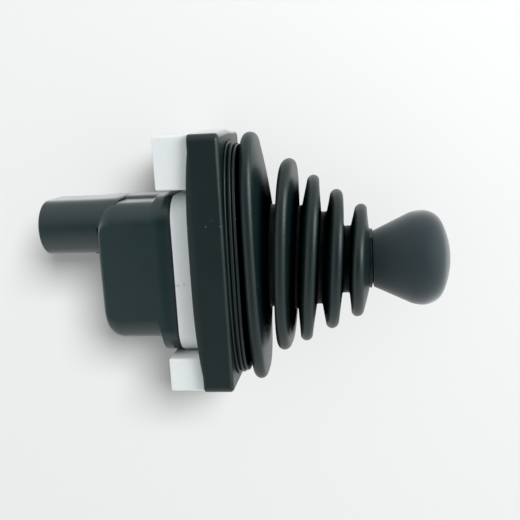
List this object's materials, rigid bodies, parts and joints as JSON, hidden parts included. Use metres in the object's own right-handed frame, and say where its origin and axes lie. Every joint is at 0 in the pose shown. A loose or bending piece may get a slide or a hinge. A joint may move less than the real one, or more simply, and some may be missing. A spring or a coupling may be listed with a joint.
{
  "type": "industrial joystick",
  "caption": "Single-axis spring-return joystick: flared knob on a ribbed oval rubber boot, rubber skirt, white mounting body with two pillars, and a rear cover with a plug socket.",
  "frame": {"origin": "midway between the two mounting-screw holes, on the rear ends of the pillars, on the lever's axis", "axes": "+Z along the lever towards the knob, +X along the boot's long side away from the connector, Y along the pivot"},
  "size_m": [0.0869, 0.041, 0.1361],
  "materials": {
    "white_acetal": "moulded acetal, satin white",
    "black_rubber": "moulded EPDM rubber, satin black",
    "soft_touch_grey": "soft-touch coated ABS, dark blue-grey",
    "black_nylon": "glass-filled nylon, semi-gloss black",
    "carrier_grey": "moulded PBT, dark grey",
    "natural_nylon": "natural nylon",
    "gasket_rubber": "silicone rubber, black",
    "brass": "turned brass",
    "bronze": "sintered bronze",
    "zinc_steel": "zinc-plated steel",
    "spring_steel": "drawn spring wire",
    "nickel": "nickel-plated magnet",
    "tin": "tin-plated brass",
    "circuit_board": "solder-masked glass epoxy, green",
    "chip_black": "moulded epoxy, black",
    "ceramic": "ceramic, tan"
  },
  "bodies": {
    "base": {"mounting_body": "white_acetal", "screw_inserts": "brass", "boot_skirt": "black_rubber", "bellows_boot": "black_rubber", "pivot_bushes": "bronze", "pivot_washers": "natural_nylon", "left_spring": "spring_steel", "right_spring": "spring_steel", "rear_cover": "black_nylon", "cover_gasket": "gasket_rubber", "case_screws": "zinc_steel", "connector_shroud": "black_nylon", "contact_carrier": "carrier_grey", "contact_pins": "tin", "sensor_board": "circuit_board", "hall_sensors": "chip_black", "signal_chip": "chip_black", "board_capacitors": "ceramic", "board_screws": "zinc_steel"},
    "lever": {"knob": "soft_touch_grey", "knob_hub": "brass", "lock_nut": "zinc_steel", "lever_rod": "zinc_steel", "rocker": "black_nylon", "cross_pin": "zinc_steel", "pivot_pin": "zinc_steel", "sensor_magnet": "nickel"}
  },
  "joints": [
    {"name": "lever_tilt", "type": "hinge", "parent": "base", "child": "lever", "pos_m": [0, 0, 0.0147], "axis": [0, 1, 0], "range_deg": [-20, 20], "stiffness_Nm_per_rad": 0.6, "deforming": ["bellows_boot", "left_spring", "right_spring"]}
  ]
}
